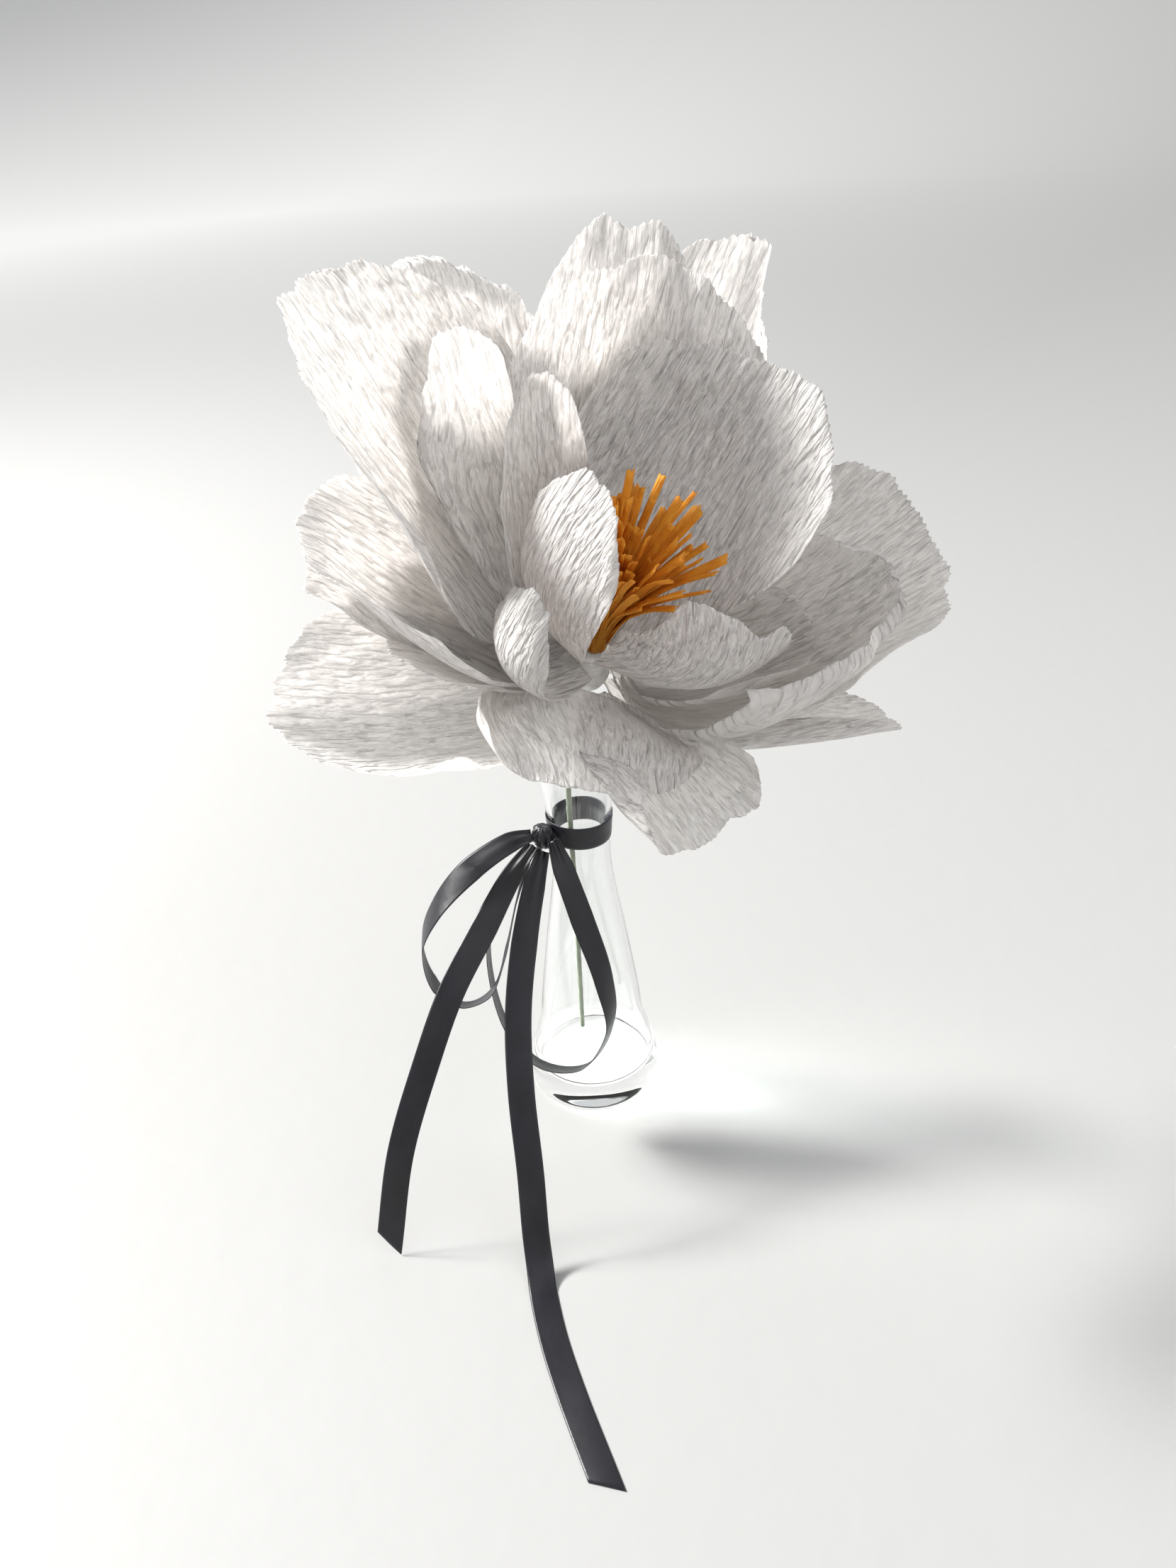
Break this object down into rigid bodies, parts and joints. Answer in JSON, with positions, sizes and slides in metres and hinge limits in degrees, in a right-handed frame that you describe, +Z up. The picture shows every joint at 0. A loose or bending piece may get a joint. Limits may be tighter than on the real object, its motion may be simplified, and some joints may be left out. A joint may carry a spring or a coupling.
{
  "type": "paper peony in a bud vase",
  "caption": "White crepe-paper peony on a taped wire stem, nodding forward out of a clear waisted glass bud vase with a satin ribbon bow tied round its neck.",
  "frame": {"origin": "centre of the vase's flat underside, on the table", "axes": "+Z up along the vase's axis; -Y is the front, toward which the flower nods and the long ribbon tail runs; +X is to the right seen from the front"},
  "size_m": [0.2258, 0.2169, 0.3456],
  "materials": {
    "petal_paper": "white crepe paper with fine lengthwise ridges",
    "stamen_paper": "orange crepe paper, cut to a fringe",
    "stem_tape": "grey-green floral tape",
    "vase_glass": "clear, polished, thick bottom",
    "ribbon_satin": "black satin"
  },
  "bodies": {
    "root": {"vase": "vase_glass", "stem": "stem_tape", "flower_base": "stem_tape", "petal_inner_front": "petal_paper", "petal_inner_left": "petal_paper", "petal_inner_back": "petal_paper", "petal_inner_right": "petal_paper", "petal_middle_small": "petal_paper", "petal_inner_low": "petal_paper", "petal_middle_upright": "petal_paper", "petal_middle_back": "petal_paper", "petal_middle_right": "petal_paper", "petal_outer_left_high": "petal_paper", "petal_middle_left": "petal_paper", "petal_outer_back": "petal_paper", "petal_outer_back_right": "petal_paper", "petal_last_left_high": "petal_paper", "petal_outer_right": "petal_paper", "petal_outer_left_small": "petal_paper", "petal_outer_left": "petal_paper", "petal_outer_front": "petal_paper", "petal_last_front_right": "petal_paper", "petal_last_right": "petal_paper", "petal_last_left": "petal_paper", "stamens_outer": "stamen_paper", "stamens_middle": "stamen_paper", "stamens_core": "stamen_paper", "ribbon_collar": "ribbon_satin", "ribbon_knot": "ribbon_satin", "ribbon_loop_left": "ribbon_satin", "ribbon_loop_right": "ribbon_satin", "ribbon_tail_left": "ribbon_satin", "ribbon_tail_right": "ribbon_satin"}
  },
  "joints": []
}
